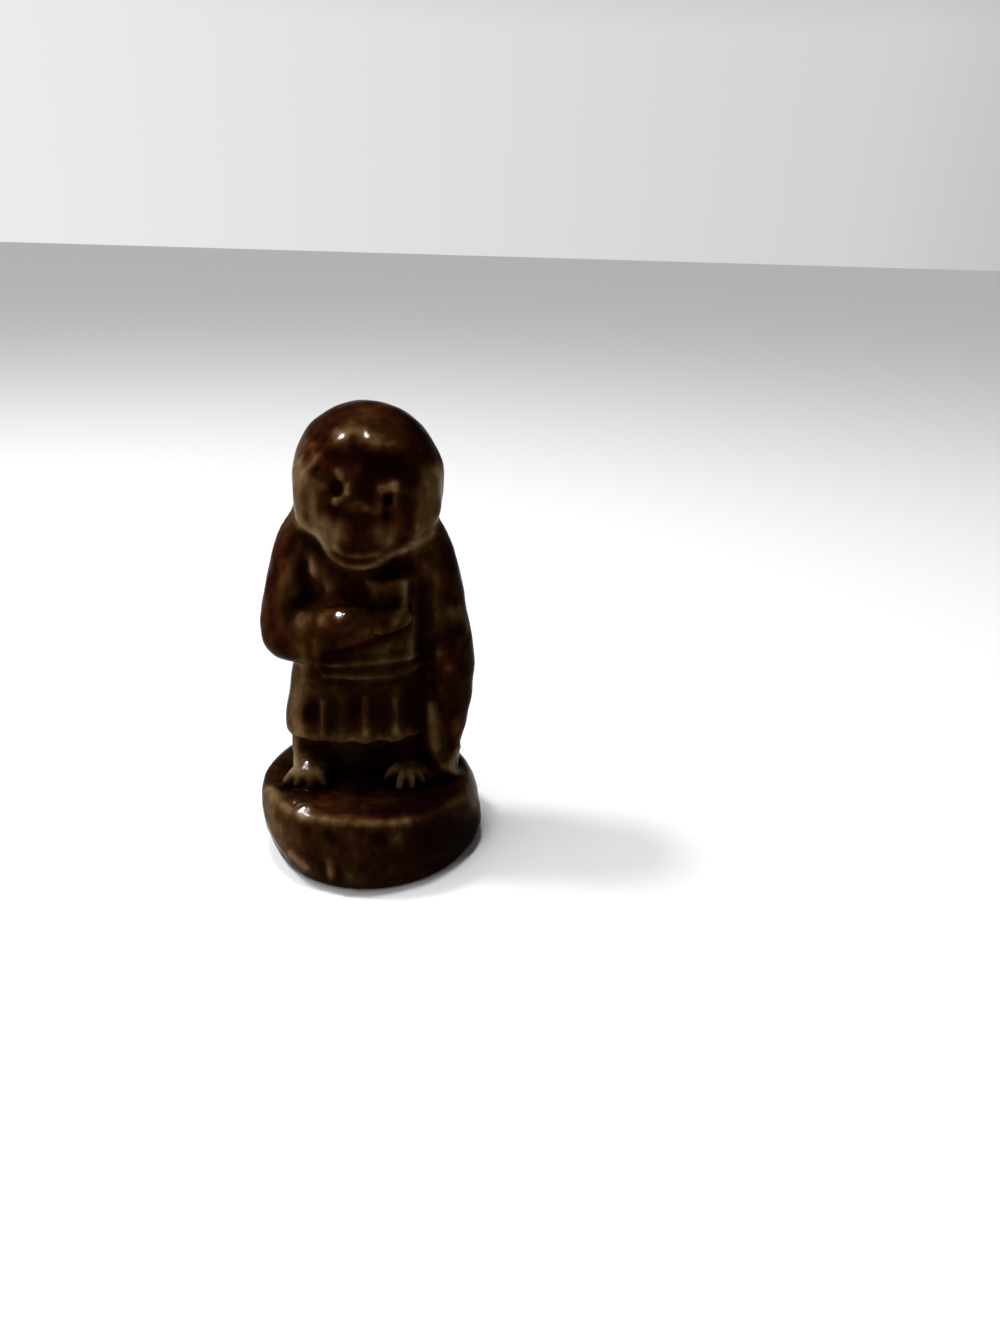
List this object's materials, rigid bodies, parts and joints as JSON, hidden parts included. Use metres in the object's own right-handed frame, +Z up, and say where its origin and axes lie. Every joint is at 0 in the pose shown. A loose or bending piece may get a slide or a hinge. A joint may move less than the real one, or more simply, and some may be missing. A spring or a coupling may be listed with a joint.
{
  "type": "ceramic figurine",
  "caption": "Small glazed ceramic figurine of a robed ape standing on a round base, one arm across the belly and one arm hanging, to stand on a shelf.",
  "frame": {"origin": "centre of the base's flat underside", "axes": "+Z up; the figure faces -Y, its bent arm is on the -X side and its hanging arm on the +X side"},
  "size_m": [0.0222, 0.0218, 0.0448],
  "materials": {
    "treacle_glaze": "thick glossy treacle-brown glaze, near black where it pools and tan where it runs thin over edges"
  },
  "bodies": {
    "root": {"figurine": "treacle_glaze"}
  },
  "joints": []
}
